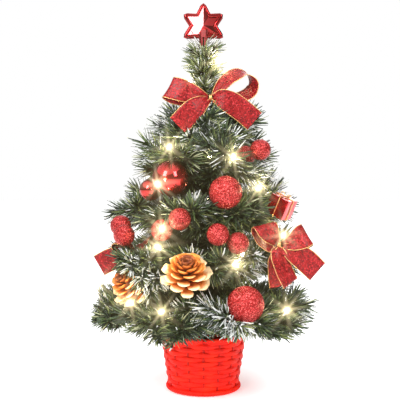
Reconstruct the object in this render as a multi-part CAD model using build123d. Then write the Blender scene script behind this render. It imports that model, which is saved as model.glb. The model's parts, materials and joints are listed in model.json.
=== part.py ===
from build123d import *
import os
from math import cos, radians, sin

# Artificial tabletop tree in a woven pot, lit, with a star topper, bows and picks.
# Frame: origin at the centre of the pot floor's underside, +Z up, the dressed front
# faces -Y. Azimuths are counted from the front (-Y) towards +X. Millimetres.

# ---- driving dimensions ----
# pot
POT_HEIGHT = 69.0
POT_BASE_RADIUS = 41.0
POT_TOP_RADIUS = 51.5
POT_WALL = 3.0
BRAID_RADIUS = 2.6
# ballast and trunk
BALLAST_TOP = 34.0
TRUNK_RADIUS = 3.0
WRAP_RADIUS = 4.2
TRUNK_TOP = 345.0
LEADER_RADIUS = 1.5
LEADER_TOP = 416.0
BINDING_RADIUS = 5.2
BINDING_HEIGHT = 9.0
# branches
HINGE_RADIUS = 6.2
WIRE_RADIUS = 1.2
TWIG_RADIUS = 0.9
CLEARANCE = 0.3
# star
STAR_CENTRE_Z = 428.0
STAR_RADIUS = 26.5
STAR_INNER = 0.54
STAR_DEPTH = 6.0
STAR_RIM = 1.2
STAR_WALL = 0.9
SOCKET_TOP_RADIUS = 6.6
SOCKET_FOOT_RADIUS = 4.2
SOCKET_FOOT_Z = 404.5
SOCKET_TOP_Z = 423.0
# ornaments
BALL_RADIUS = 20.0
MEDIUM_BALL_RADIUS = 18.0
SMALL_BALL_RADIUS = 12.5
BERRY_RADIUS = 12.0
BALL_WALL = 1.0
STEM_RADIUS = 0.6
RIBBON_WIDTH = 25.0
RIBBON_THICKNESS = 0.8
CONE_RADIUS = 26.5
CONE_LENGTH = 36.0
CONE_HOLLOW = 0.88
GIFT_SIDE = 24.0
# lights
BULB_RADIUS = 1.7
BULB_LENGTH = 5.5
LEAD_RADIUS = 0.6
LEAD_LIFT = 2.6
LEAD_START = 7.0
# battery case: two AAA cells side by side
CASE_LENGTH = 58.0
CASE_WIDTH = 24.0
CASE_HEIGHT = 15.0
CASE_WALL = 1.2
CASE_BACK_Y = 31.5
CELL_RADIUS = 5.25
CELL_LENGTH = 44.5
LID_LENGTH = 47.0
LID_THICKNESS = 1.2
SWITCH_TRAVEL = 3.0

# Each tier: height of its binding, reach of the main wires, their rise, and azimuths.
TIERS = {
    "tier_1": (90.0, 120.0, 3.0,
               {"front_right": 30.0, "right": 88.0, "back_right": 145.0,
                "back_left": -145.0, "left": -90.0, "front_left": -30.0}),
    "tier_2": (137.0, 99.0, 15.0,
               {"front": -2.0, "right": 55.0, "back_right": 125.0,
                "back_left": -130.0, "left": -62.0}),
    "tier_3": (185.0, 84.0, 22.0,
               {"front_left": -24.0, "front_right": 27.0, "right": 88.0,
                "back": 157.0, "back_left": -105.0}),
    "tier_4": (232.0, 72.0, 35.0,
               {"front_left": -42.0, "front_right": 28.0, "back_right": 135.0,
                "back_left": -138.0}),
    "tier_5": (272.0, 45.0, 47.0,
               {"front": -8.0, "back_right": 112.0, "back_left": -128.0}),
}
# Branches cut short, and twigs left off, where an ornament takes their place.
SHORTENED = {("tier_1", "right"): 0.92, ("tier_2", "front"): 0.8}
PRUNED = {
    ("tier_1", "left"): (0,),
    ("tier_1", "front_left"): (3,),
    ("tier_2", "left"): (3,),
    ("tier_3", "front_left"): (3,),
    ("tier_3", "front_right"): (3,),
    ("tier_4", "front_left"): (3,),
    ("tier_4", "back_left"): (2,),
    ("tier_5", "front"): (2, 3),
    ("tier_5", "back_left"): (2,),
}
# Side twigs: place along the main wire, turn to the side, tilt, length as a share of reach.
TWIGS = (
    (0.34, 50.0, 10.0, 0.36),
    (0.34, -50.0, -8.0, 0.36),
    (0.62, 50.0, -8.0, 0.42),
    (0.62, -50.0, 10.0, 0.42),
)


def polar(radius, azimuth, height):
    """Point at a radius and an azimuth counted from the front towards +X."""
    a = radians(azimuth)
    return Vector(radius * sin(a), -radius * cos(a), height)


def heading(azimuth, rise):
    """Unit direction that points out at an azimuth and rises by an angle."""
    level = cos(radians(rise))
    return polar(level, azimuth, sin(radians(rise)))


def rod(start, end, radius):
    """Straight round wire between two points."""
    run = end - start
    return Solid.make_cylinder(radius, run.length, Plane(origin=start, z_dir=run))


def cup(base_radius, top_radius, low, high):
    """Upright cone frustum between two heights."""
    return Solid.make_cone(base_radius, top_radius, high - low, Plane((0, 0, low)))


def pot_radius(height, inset=0.0):
    """Radius of the pot's wall at a height, moved in by an inset."""
    slope = (POT_TOP_RADIUS - POT_BASE_RADIUS) / POT_HEIGHT
    return POT_BASE_RADIUS + slope * height - inset


# ---- pot, ballast and trunk ----
def pot_weave():
    """Woven basket: a tapered cup with a floor."""
    outer = cup(POT_BASE_RADIUS, POT_TOP_RADIUS, 0, POT_HEIGHT)
    inside = cup(pot_radius(POT_WALL, POT_WALL), pot_radius(POT_HEIGHT + 1, POT_WALL),
                 POT_WALL, POT_HEIGHT + 1)
    return outer - inside


def pot_braids():
    """Plaited rolls round the pot's foot and rim, laid against the outside of its wall."""
    wall = cup(POT_BASE_RADIUS, pot_radius(POT_HEIGHT + 5), 0, POT_HEIGHT + 5)
    rolls = []
    for height in (BRAID_RADIUS + 1.2, POT_HEIGHT - BRAID_RADIUS):
        roll = Pos(0, 0, height) * Torus(pot_radius(height) + 0.6, BRAID_RADIUS)
        rolls.append((roll - wall).solid())
    return Compound(children=rolls)


def ballast():
    """Cast plug that weights the pot and holds the trunk's foot."""
    floor = POT_WALL
    plug = cup(pot_radius(floor, POT_WALL), pot_radius(BALLAST_TOP, POT_WALL), floor, BALLAST_TOP)
    return plug - rod(Vector(0, 0, floor + 3), Vector(0, 0, BALLAST_TOP + 1), TRUNK_RADIUS)


def trunk_core():
    """Twisted steel core, stepped down to the leader's single wire."""
    core = rod(Vector(0, 0, POT_WALL + 3), Vector(0, 0, TRUNK_TOP), TRUNK_RADIUS)
    return core + rod(Vector(0, 0, TRUNK_TOP), Vector(0, 0, LEADER_TOP), LEADER_RADIUS)


def trunk_wrap():
    """Tape wound round the core above the ballast."""
    sleeve = rod(Vector(0, 0, BALLAST_TOP), Vector(0, 0, TRUNK_TOP), WRAP_RADIUS)
    return sleeve - rod(Vector(0, 0, 0), Vector(0, 0, TRUNK_TOP + 1), TRUNK_RADIUS)


def tier_bindings():
    """Wire binding on the trunk where each tier's branches are gathered."""
    rings = []
    for height, _, _, _ in TIERS.values():
        low = Vector(0, 0, height - BINDING_HEIGHT / 2)
        high = Vector(0, 0, height + BINDING_HEIGHT / 2)
        rings.append(rod(low, high, BINDING_RADIUS) - rod(low, high, WRAP_RADIUS))
    return Compound(children=[ring.solid() for ring in rings])


# ---- branches ----
def clear_of_wire(along, way, radius):
    """Distance along a side wire at which its flat end just clears the main wire."""
    angle = radians(along.get_angle(way))
    return (WIRE_RADIUS + radius * abs(cos(angle))) / sin(angle) + 0.05


def main_wire(tier, place):
    """Both ends of a branch's main wire."""
    height, reach, rise, azimuths = TIERS[tier]
    root = polar(HINGE_RADIUS, azimuths[place], height)
    run = (reach - HINGE_RADIUS) / cos(radians(rise)) * SHORTENED.get((tier, place), 1)
    return root, root + heading(azimuths[place], rise) * run


def twig_ends(tier, place):
    """Both ends of each side twig, which starts just clear of the main wire."""
    _, _, rise, azimuths = TIERS[tier]
    root, tip = main_wire(tier, place)
    along = (tip - root).normalized()
    length = (tip - root).length
    twigs = []
    for number, (share, turn, tilt, size) in enumerate(TWIGS):
        if number in PRUNED.get((tier, place), ()):
            continue
        way = heading(azimuths[place] + turn, rise + tilt)
        clear = clear_of_wire(along, way, TWIG_RADIUS)
        fork = root + (tip - root) * share
        twigs.append((fork + way * clear, fork + way * size * length))
    return twigs


def branch(tier, place):
    """One branch: a main wire with its side twigs."""
    root, tip = main_wire(tier, place)
    wires = [rod(root, tip, WIRE_RADIUS)]
    wires += [rod(start, end, TWIG_RADIUS) for start, end in twig_ends(tier, place)]
    return Compound(children=wires)


def stem(centre, radius, tier, place, setback=4.0):
    """Wire stem from a pick's surface to just short of its branch's main wire."""
    root, tip = main_wire(tier, place)
    along = (tip - root).normalized()
    reach = min(max((centre - root).dot(along), 0.25 * (tip - root).length),
                (tip - root).length - setback)
    foot = root + along * reach
    out = (centre - foot).normalized()
    clear = clear_of_wire(along, out, STEM_RADIUS)
    return rod(foot + out * clear, centre - out * (radius + 0.02), STEM_RADIUS)


# ---- star topper ----
def star_outline(scale):
    """Corners of the star in X and Z: six points, less the lowest, where the socket is."""
    corners = []
    for step in range(12):
        if step == 6:
            continue
        radius = STAR_RADIUS * scale * (1 if step % 2 == 0 else STAR_INNER)
        angle = radians(30 * step)
        corners.append((radius * sin(angle), radius * cos(angle)))
    return corners


def star_pyramid(scale, front, depth):
    """Faceted pyramid on the star's outline, standing out from the mid plane."""
    base = [Vector(x, 0, STAR_CENTRE_Z + z) for x, z in star_outline(scale)]
    apex = Vector(0, -depth if front else depth, STAR_CENTRE_Z)
    faces = [Face(Wire.make_polygon(base, close=True))]
    for step, corner in enumerate(base):
        after = base[(step + 1) % len(base)]
        faces.append(Face(Wire.make_polygon([corner, after, apex], close=True)))
    return Solid(Shell(faces)).fix()


def star_half(front):
    """One moulded half: a flat rim and a hollow faceted face."""
    side = -1 if front else 1
    rim = Plane.XZ * Polygon(*star_outline(1.0), align=None)
    rim = Pos(0, 0, STAR_CENTRE_Z) * extrude(rim, STAR_RIM, dir=(0, side, 0))
    face = Pos(0, side * STAR_RIM, 0) * star_pyramid(0.86, front, STAR_DEPTH)
    inside = star_pyramid(0.76, front, STAR_DEPTH)
    return (rim + face - inside - socket_cone()).solid()


def socket_cone():
    """Outside of the socket, whose head sits inside the star."""
    return cup(SOCKET_FOOT_RADIUS, SOCKET_TOP_RADIUS, SOCKET_FOOT_Z, SOCKET_TOP_Z)


def star_socket():
    """Split cone below the star, which slips over the leader wire."""
    bore = rod(Vector(0, 0, SOCKET_FOOT_Z - 1), Vector(0, 0, LEADER_TOP + 1.0),
               LEADER_RADIUS + CLEARANCE)
    slit_height = 11.0
    slit = Pos(0, 0, SOCKET_FOOT_Z + slit_height / 2 - 1) * Box(2.0, 30.0, slit_height)
    return socket_cone() - bore - slit


# ---- ornaments ----
def hollow_ball(centre, radius):
    """Thin-walled ball with its cap."""
    ball = Pos(*centre) * (Sphere(radius) - Sphere(radius - BALL_WALL))
    return ball.solid()


def ball_pick(centre, radius, tier, place):
    """A ball on its wire stem."""
    return Compound(children=[hollow_ball(centre, radius), stem(centre, radius, tier, place)])


def berry_pick(centres, tier, place):
    """Glittered berries, each a thin shell on its wire stem."""
    pieces = []
    for number, centre in enumerate(centres):
        pieces.append(hollow_ball(centre, BERRY_RADIUS))
        pieces.append(stem(centre, BERRY_RADIUS, tier, place, 4.0 + 5.0 * number))
    return Compound(children=pieces)


def pine_cone(centre, axis):
    """Closed cone: rounded foot, widest low down, narrowing to its tip."""
    half = CONE_LENGTH / 2
    with BuildSketch(Plane.XZ) as profile:
        with BuildLine():
            Line((0, -half), (CONE_RADIUS * 0.45, -half))
            Spline((CONE_RADIUS * 0.45, -half), (CONE_RADIUS, -half * 0.3),
                   (CONE_RADIUS * 0.7, half * 0.45), (2.0, half))
            Line((2.0, half), (0, half))
            Line((0, half), (0, -half))
        make_face()
    body = revolve(profile.sketch, Axis.Z)
    body -= scale(body, CONE_HOLLOW)
    return (Plane(origin=centre, z_dir=axis).location * body).solid()


def ribbon_loop(knot, along, across, length, opening):
    """Closed loop of ribbon that leaves the knot and comes back to it."""
    plane = Plane(origin=knot + along * (length / 2), x_dir=along, z_dir=across)
    band = Ellipse(length / 2, opening / 2)
    band -= Ellipse(length / 2 - RIBBON_THICKNESS, opening / 2 - RIBBON_THICKNESS)
    return extrude(plane * band, RIBBON_WIDTH / 2, both=True)


def ribbon_tail(knot, along, across, length):
    """Flat end of ribbon that hangs from the knot."""
    facing = along.cross(across)
    plane = Plane(origin=knot + along * (length / 2), x_dir=along, z_dir=facing)
    return extrude(plane * Rectangle(length, RIBBON_WIDTH), RIBBON_THICKNESS / 2, both=True)


def bow(knot, loops, tails):
    """Ribbon bow: loops and tails gathered at a tied knot."""
    body = Pos(*knot) * Sphere(4.5)
    for along, across, length, opening in loops:
        along = Vector(*along).normalized()
        across = across_ribbon(along, across)
        body += ribbon_loop(knot, along, across, length, opening)
    for along, across, length in tails:
        along = Vector(*along).normalized()
        across = across_ribbon(along, across)
        body += ribbon_tail(knot, along, across, length)
    return body.solid()


def across_ribbon(along, hint):
    """Direction across the ribbon nearest to the hint, square to its run."""
    hint = Vector(*hint)
    return (hint - along * hint.dot(along)).normalized()


def gift_box(centre):
    """Foil-wrapped cube, tilted on its branch."""
    cube = fillet(Box(GIFT_SIDE, GIFT_SIDE, GIFT_SIDE).edges(), 0.8)
    return (Pos(*centre) * Rot(14, 20, -36) * cube).solid()


# ---- lights ----
def bulb(place, way):
    """Round-nosed LED bulb."""
    tip = place + way * (BULB_LENGTH - BULB_RADIUS)
    body = rod(place, tip, BULB_RADIUS)
    return (body + Pos(*tip) * Sphere(BULB_RADIUS)).solid()


def branch_lights(tier, place, spots):
    """Lead above a branch's main wire, with a drop to each bulb.

    Each spot is a share of the main wire, then how far the drop goes from there: ahead
    along the wire, to the side and above it.
    """
    root, tip = main_wire(tier, place)
    along = (tip - root).normalized()
    side = along.cross(Vector(0, 0, 1)).normalized()
    above = side.cross(along)
    lift = above * LEAD_LIFT
    last = max(share for share, _, _, _ in spots)
    pieces = [rod(root + lift + along * LEAD_START, root + lift + (tip - root) * last, LEAD_RADIUS)]
    for share, ahead, aside, rise in spots:
        fork = root + lift + (tip - root) * share
        drop = along * ahead + side * aside + above * rise
        way = drop.normalized()
        pieces.append(rod(fork + way * LEAD_RADIUS * 2.2, fork + drop, LEAD_RADIUS))
        pieces.append(bulb(fork + drop, way))
    return Compound(children=pieces)


LEAD_Y = BINDING_RADIUS + LEAD_RADIUS + 0.02
LEADER_BULBS = ((16.0, -10.0, 384.0), (-14.0, 12.0, 362.0))


def trunk_lead():
    """Lead from the battery case up the back of the trunk, with the leader's bulbs."""
    case_front = CASE_BACK_Y - CASE_WIDTH
    corner = Vector(0, LEAD_Y, BALLAST_TOP + 8)
    high = Vector(0, LEAD_Y, 372)
    run = [rod(Vector(0, case_front, corner.Z), corner, LEAD_RADIUS)
           + Pos(*corner) * Sphere(LEAD_RADIUS) + rod(corner, high, LEAD_RADIUS)]
    pieces = [run[0].solid()]
    for place, fork_z in zip(LEADER_BULBS, (371.0, 352.0)):
        fork = Vector(0, LEAD_Y, fork_z)
        way = (Vector(*place) - fork).normalized()
        pieces.append(rod(fork + way * LEAD_RADIUS * 2.2, Vector(*place), LEAD_RADIUS))
        pieces.append(bulb(Vector(*place), way))
    return Compound(children=pieces)


# ---- battery case ----
def case_origin():
    """Lowest corner of the battery case, on the ballast behind the trunk."""
    return Vector(-CASE_LENGTH / 2, CASE_BACK_Y - CASE_WIDTH, BALLAST_TOP)


def block(low, high):
    """Box between two corners."""
    size = high - low
    return Pos(*(low + size * 0.5)) * Box(size.X, size.Y, size.Z)


def battery_case():
    """Open-topped tray for the cells, with the switch's compartment at one end."""
    low = case_origin()
    high = low + Vector(CASE_LENGTH, CASE_WIDTH, CASE_HEIGHT)
    wall = Vector(CASE_WALL, CASE_WALL, CASE_WALL)
    lid_end = low.X + CASE_WALL + LID_LENGTH
    cells = block(low + wall, Vector(lid_end, high.Y - CASE_WALL, high.Z + 1))
    works = block(Vector(lid_end + CASE_WALL, low.Y + CASE_WALL, low.Z + CASE_WALL),
                  high - wall)
    slot = block(Vector(lid_end + 2.0, low.Y + 7.0, high.Z - 2),
                 Vector(high.X - 2.0, high.Y - 7.0, high.Z + 1))
    return block(low, high) - cells - works - slot


def battery_lid():
    """Snap-in lid over the cells."""
    low = case_origin() + Vector(CASE_WALL, CASE_WALL, CASE_HEIGHT - LID_THICKNESS)
    gap = Vector(CLEARANCE, CLEARANCE, 0)
    high = low + Vector(LID_LENGTH, CASE_WIDTH - 2 * CASE_WALL, LID_THICKNESS)
    plate = block(low + gap, high - gap)
    ridge_x = low.X + LID_LENGTH - 6
    ridge = block(Vector(ridge_x, low.Y + 5, high.Z), Vector(ridge_x + 1.5, high.Y - 5, high.Z + 0.8))
    return (plate + ridge).solid()


def battery_cells():
    """Two cells laid side by side."""
    low = case_origin()
    cells = []
    for row in (0, 1):
        y = low.Y + CASE_WIDTH / 2 + (row - 0.5) * (2 * CELL_RADIUS + 0.2)
        z = low.Z + CASE_WALL + CELL_RADIUS
        start = Vector(low.X + CASE_WALL + 1.2, y, z)
        cell = rod(start, start + Vector(CELL_LENGTH - 1, 0, 0), CELL_RADIUS)
        nub = rod(start + Vector(CELL_LENGTH - 1, 0, 0), start + Vector(CELL_LENGTH, 0, 0), 1.9)
        cells.append((cell + nub).solid())
    return Compound(children=cells)


def battery_switch():
    """Slider in the case's top, shown in its ON place."""
    low = case_origin()
    lid_end = low.X + CASE_WALL + LID_LENGTH
    top = low.Z + CASE_HEIGHT
    start = Vector(lid_end + 2.0 + CLEARANCE, low.Y + 7.0 + CLEARANCE, top - CASE_WALL)
    size = Vector(CASE_LENGTH - 2 * CASE_WALL - LID_LENGTH - 2 * CLEARANCE - 2.8,
                  10.0 - 2 * CLEARANCE - SWITCH_TRAVEL, CASE_WALL + 1.5)
    return block(start, start + size)


# ---- where the ornaments hang ----
BALL_PICKS = {
    "plain_ball_large": ((-36.5, -68, 249.5), BALL_RADIUS, "tier_4", "front_left"),
    "plain_ball_small": ((-59.5, -46, 236.5), SMALL_BALL_RADIUS, "tier_4", "front_left"),
    "glitter_ball_upper": ((23.5, -82, 234.5), MEDIUM_BALL_RADIUS, "tier_3", "front_right"),
    "glitter_ball_lower": ((44, -100, 116), BALL_RADIUS, "tier_1", "front_right"),
}
BERRY_PICKS = {
    "berries_centre": (((15, -99, 190.5), (36.5, -92, 180.5)), "tier_3", "front_right"),
    "berries_centre_left": (((-25.5, -93, 206.5), (-45, -84, 194)), "tier_3", "front_left"),
    "berries_upper_right": (((64, -42, 281.5), (48, -24, 275)), "tier_4", "front_right"),
    "berries_left": (((-94, -38, 195.5), (-88, -61, 186.5)), "tier_2", "left"),
}
PINE_CONES = {
    "pine_cone_front": ((-18, -112, 151), (0.05, -0.57, 0.82)),
    "pine_cone_left": ((-82, -52, 133), (-0.6, -0.5, 0.6)),
}
BOWS = {
    "bow_top": (
        (8, -30, 341),
        (((-0.92, 0, 0.36), (0.36, 0, 0.92), 46, 12), ((0.86, 0, 0.42), (-0.4, 0.83, 0.4), 48, 20)),
        (((-0.82, -0.2, -0.62), (0.6, 0, -0.8), 42), ((0.84, -0.2, -0.5), (0.5, 0, 0.85), 56)),
    ),
    "bow_right": (
        (82, -76, 177),
        (((-0.6, 0, 0.75), (0.7, 0.3, 0.6), 32, 12), ((0.86, 0.1, 0.34), (-0.4, 0.2, 0.9), 38, 12)),
        (((0.35, 0, -0.93), (0.93, 0, 0.35), 42), ((0.78, 0.15, -0.6), (0.6, 0, 0.8), 57),
         ((0.02, 0.3, -0.95), (0.95, 0.2, 0.1), 50)),
    ),
    "bow_left": (
        (-76, -28, 166),
        (((-0.8, 0.3, 0.5), (0.2, 0.9, 0.2), 30, 14), ((0.3, 0.9, 0.3), (0.8, 0, 0.5), 26, 12)),
        (((-0.86, -0.1, -0.5), (0.5, 0, -0.86), 46),),
    ),
}
GIFT_CENTRE = (88.6, -34, 217.5)
LIT_BRANCHES = {
    ("tier_4", "front_left"): ((0.9, 5, -6, 5),),
    ("tier_4", "front_right"): ((1.03, -1, 3, -7), (0.5, 5, 8, 14)),
    ("tier_3", "front_right"): ((0.9, 15, -24, 17), (0.5, 5, -10, 12)),
    ("tier_3", "front_left"): ((0.98, 33, 4, 12), (1.05, 12, -1, -28)),
    ("tier_3", "back"): ((0.9, 5, 10, 8), (0.7, 5, -16, 8)),
    ("tier_2", "right"): ((0.97, 11, -9, 18), (0.6, 5, 14, 8)),
    ("tier_2", "front"): ((0.9, 31, 43, 11), (0.8, 7, -35, -2)),
    ("tier_1", "front_right"): ((0.95, 7, -31, 9), (0.5, 5, -14, 12)),
    ("tier_1", "front_left"): ((0.93, 7, -16, 11), (0.9, 7, 22, 16)),
    ("tier_1", "left"): ((0.95, 10, -15, 25), (0.6, 5, 12, 12)),
}


def model():
    """Every node by name."""
    nodes = {
        "pot_weave": pot_weave(),
        "pot_braids": pot_braids(),
        "ballast": ballast(),
        "trunk_core": trunk_core(),
        "trunk_wrap": trunk_wrap(),
        "tier_bindings": tier_bindings(),
        "trunk_lead": trunk_lead(),
        "battery_case": battery_case(),
        "battery_lid": battery_lid(),
        "battery_cells": battery_cells(),
        "battery_switch": battery_switch(),
        "star_halves": Compound(children=[star_half(True), star_half(False)]),
        "star_socket": star_socket(),
        "gift_box": gift_box(Vector(*GIFT_CENTRE)),
    }
    for tier, (_, _, _, azimuths) in TIERS.items():
        for place in azimuths:
            nodes[f"{tier}_{place}"] = branch(tier, place)
    for name, (centre, radius, tier, place) in BALL_PICKS.items():
        nodes[name] = ball_pick(Vector(*centre), radius, tier, place)
    for name, (centres, tier, place) in BERRY_PICKS.items():
        nodes[name] = berry_pick([Vector(*centre) for centre in centres], tier, place)
    for name, (centre, axis) in PINE_CONES.items():
        nodes[name] = pine_cone(Vector(*centre), Vector(*axis))
    for name, (knot, loops, tails) in BOWS.items():
        nodes[name] = bow(Vector(*knot), loops, tails)
    for (tier, place), spots in LIT_BRANCHES.items():
        nodes[f"lights_{tier}_{place}"] = branch_lights(tier, place, spots)
    return nodes


def write_parts():
    """Write one STEP per node."""
    os.makedirs("parts", exist_ok=True)
    for name, shape in model().items():
        export_step(shape, f"parts/{name}.step")


if __name__ == "__main__":
    write_parts()
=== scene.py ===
import json
import math
import random

import bpy
import numpy as np
from mathutils import Matrix, Vector


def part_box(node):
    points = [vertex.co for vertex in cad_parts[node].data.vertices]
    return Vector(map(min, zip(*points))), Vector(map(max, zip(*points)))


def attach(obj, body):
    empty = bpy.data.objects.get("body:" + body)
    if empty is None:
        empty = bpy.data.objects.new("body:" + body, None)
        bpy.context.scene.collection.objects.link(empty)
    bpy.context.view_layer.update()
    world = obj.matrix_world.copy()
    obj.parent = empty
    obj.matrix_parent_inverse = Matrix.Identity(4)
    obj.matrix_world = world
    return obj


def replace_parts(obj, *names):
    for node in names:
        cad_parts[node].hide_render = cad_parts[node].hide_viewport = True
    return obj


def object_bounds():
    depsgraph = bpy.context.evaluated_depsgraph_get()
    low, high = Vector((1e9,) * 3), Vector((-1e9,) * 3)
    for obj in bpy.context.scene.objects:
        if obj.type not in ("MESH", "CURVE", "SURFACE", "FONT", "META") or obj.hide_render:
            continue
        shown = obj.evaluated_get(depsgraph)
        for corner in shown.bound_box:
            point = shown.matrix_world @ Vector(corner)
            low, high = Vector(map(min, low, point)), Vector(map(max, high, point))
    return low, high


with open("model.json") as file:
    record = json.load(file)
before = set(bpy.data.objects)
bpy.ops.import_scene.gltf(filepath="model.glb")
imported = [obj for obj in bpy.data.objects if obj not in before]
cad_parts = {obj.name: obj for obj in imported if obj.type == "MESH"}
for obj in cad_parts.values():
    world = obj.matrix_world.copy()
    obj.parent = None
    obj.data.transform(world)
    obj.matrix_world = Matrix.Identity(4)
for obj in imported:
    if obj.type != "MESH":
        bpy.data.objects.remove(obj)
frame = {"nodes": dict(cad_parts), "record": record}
CAD_BOX = [list(corner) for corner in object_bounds()]
NODES = frame["nodes"]
BODIES = frame["record"]["behaviour"]["bodies"]
BODY_OF = {node: body for body, members in BODIES.items() for node in members}
MM = 0.001
GOLDEN = math.pi * (3 - math.sqrt(5))


# ---- camera, floor and light ----
CAMERA_PLACE = (-0.004, -0.900, 0.255)
CAMERA_TARGET = (-0.004, 0.0, 0.2235)
CAMERA_LENS = 68.4
ROOM_LIGHT = 0.23
FLOOR_HALF = 6.0
FLOOR_GLOW = 0.28
TREE_MIDDLE = (0, 0, 0.24)


def add_object(name, data):
    """New object linked to the scene."""
    thing = bpy.data.objects.new(name, data)
    bpy.context.scene.collection.objects.link(thing)
    return thing


def aim(thing, place, target):
    """Put a camera or lamp at a place, facing a point."""
    thing.location = place
    look = Vector(target) - Vector(place)
    thing.rotation_euler = look.to_track_quat("-Z", "Y").to_euler()


def make_camera():
    """Camera before the tree, a little above its middle."""
    camera = add_object("camera", bpy.data.cameras.new("camera"))
    aim(camera, CAMERA_PLACE, CAMERA_TARGET)
    camera.data.sensor_width = 36.0
    camera.data.lens = CAMERA_LENS
    camera.data.clip_start = 0.01
    bpy.context.scene.camera = camera


def make_room():
    """White studio that the camera sees brighter than it lights the tree."""
    world = bpy.data.worlds.new("studio")
    bpy.context.scene.world = world
    world.use_nodes = True
    tree = world.node_tree
    seen = tree.nodes["Background"]
    lit = tree.nodes.new("ShaderNodeBackground")
    for background, strength in ((seen, 1.0), (lit, ROOM_LIGHT)):
        background.inputs["Color"].default_value = (1, 1, 1, 1)
        background.inputs["Strength"].default_value = strength
    path = tree.nodes.new("ShaderNodeLightPath")
    mix = tree.nodes.new("ShaderNodeMixShader")
    tree.links.new(path.outputs["Is Camera Ray"], mix.inputs["Fac"])
    tree.links.new(lit.outputs["Background"], mix.inputs[1])
    tree.links.new(seen.outputs["Background"], mix.inputs[2])
    tree.links.new(mix.outputs["Shader"], tree.nodes["World Output"].inputs["Surface"])


def make_floor():
    """Pale paper, faintly lit from within so that it stays white."""
    mesh = bpy.data.meshes.new("floor")
    corners = [(x * FLOOR_HALF, y * FLOOR_HALF, 0) for x, y in ((-1, -1), (1, -1), (1, 1), (-1, 1))]
    mesh.from_pydata(corners, [], [(0, 1, 2, 3)])
    mat, shader = new_material("floor_paper", (0.98, 0.98, 0.98), 0.9)
    shader.inputs["Emission Color"].default_value = (1.0, 1.0, 1.0, 1)
    shader.inputs["Emission Strength"].default_value = FLOOR_GLOW
    mesh.materials.append(mat)
    add_object("floor", mesh)


def make_lamps():
    """Two tall softboxes before the tree, one light behind it and a soft ceiling."""
    softbox("softbox_left", (-0.62, -0.90, 0.84), TREE_MIDDLE, 0.42, 0.66, 12.5)
    softbox("softbox_right", (0.60, -0.92, 0.82), TREE_MIDDLE, 0.36, 0.60, 8.5)
    softbox("back_light", (0.2, 1.2, 0.9), (0, 0, 0.1), 1.0, 0.8, 8.0)
    sky = bpy.data.lights.new("ceiling", "SUN")
    sky.energy = 2.7
    sky.angle = math.radians(110)
    add_object("ceiling", sky).rotation_euler = (math.radians(10), math.radians(-12), 0)


def softbox(name, place, target, width, height, power):
    """Rectangular area light that faces a point."""
    light = bpy.data.lights.new(name, "AREA")
    light.shape = "RECTANGLE"
    light.size = width
    light.size_y = height
    light.energy = power
    aim(add_object(name, light), place, target)


# ---- material tools ----
def linear(red, green, blue):
    """Linear colour of an sRGB one given from 0 to 255."""
    out = []
    for part in (red, green, blue):
        part /= 255
        out.append(part / 12.92 if part <= 0.04045 else ((part + 0.055) / 1.055) ** 2.4)
    return out


def new_material(name, colour, roughness, metallic=0.0, coat=0.0):
    """Material with its main values set, and its shader."""
    mat = bpy.data.materials.new(name)
    mat.use_nodes = True
    shader = mat.node_tree.nodes["Principled BSDF"]
    shader.inputs["Base Color"].default_value = (*colour, 1)
    shader.inputs["Roughness"].default_value = roughness
    shader.inputs["Metallic"].default_value = metallic
    shader.inputs["Coat Weight"].default_value = coat
    shader.inputs["Coat Roughness"].default_value = 0.03
    mat.diffuse_color = (*colour, 1)
    return mat, shader


def add_node(mat, kind, **values):
    """New shader node with its inputs set by name."""
    node = mat.node_tree.nodes.new(kind)
    for name, value in values.items():
        node.inputs[name.replace("_", " ")].default_value = value
    return node


def link(mat, out, into):
    mat.node_tree.links.new(out, into)


def over_object(mat, node):
    """Feed a node with the object's own coordinates."""
    place = mat.node_tree.nodes.new("ShaderNodeTexCoord")
    link(mat, place.outputs["Object"], node.inputs["Vector"])
    return node


def noise(mat, scale, detail=3.0):
    """Noise over the object, as a value."""
    node = add_node(mat, "ShaderNodeTexNoise", Scale=scale, Detail=detail)
    return over_object(mat, node).outputs["Fac"]


def cells(mat, scale):
    """Cells over the object, each of its own random colour."""
    return over_object(mat, add_node(mat, "ShaderNodeTexVoronoi", Scale=scale)).outputs["Color"]


def paint(mat, shader, source, stops):
    """Base colour from a ramp over a value, with (place, linear colour) stops."""
    node = mat.node_tree.nodes.new("ShaderNodeValToRGB")
    elements = node.color_ramp.elements
    while len(elements) < len(stops):
        elements.new(0.5)
    for element, (place, colour) in zip(elements, stops):
        element.position = place
        element.color = (*colour, 1)
    link(mat, source, node.inputs["Fac"])
    link(mat, node.outputs["Color"], shader.inputs["Base Color"])


def bump(mat, shader, source, strength, distance):
    """Bump of a height on the shader's normal."""
    node = add_node(mat, "ShaderNodeBump", Strength=strength, Distance=distance)
    link(mat, source, node.inputs["Height"])
    link(mat, node.outputs["Normal"], shader.inputs["Normal"])


def vary_roughness(mat, shader, source, low, high):
    """Roughness between two values, following a pattern."""
    node = add_node(mat, "ShaderNodeMapRange", To_Min=low, To_Max=high)
    link(mat, source, node.inputs["Value"])
    link(mat, node.outputs["Result"], shader.inputs["Roughness"])


# ---- materials ----
def plastic(name, colour, roughness, scale=1200.0, strength=0.25, height=0.0002,
            spread=(-0.08, 0.10)):
    """Plastic of one tone with a fine grain and uneven gloss."""
    mat, shader = new_material(name, linear(*colour), roughness)
    grain = noise(mat, scale, 2.0)
    bump(mat, shader, grain, strength, height)
    vary_roughness(mat, shader, grain, roughness + spread[0], roughness + spread[1])
    return mat


def snow_material():
    """Flocking: white fibres with a rough, lit-through look."""
    mat, shader = new_material("needle_snow", linear(222, 225, 222), 0.9)
    shader.inputs["Sheen Weight"].default_value = 0.2
    grain = noise(mat, 1600.0, 4.0)
    bump(mat, shader, grain, 0.9, 0.0006)
    return mat


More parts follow.
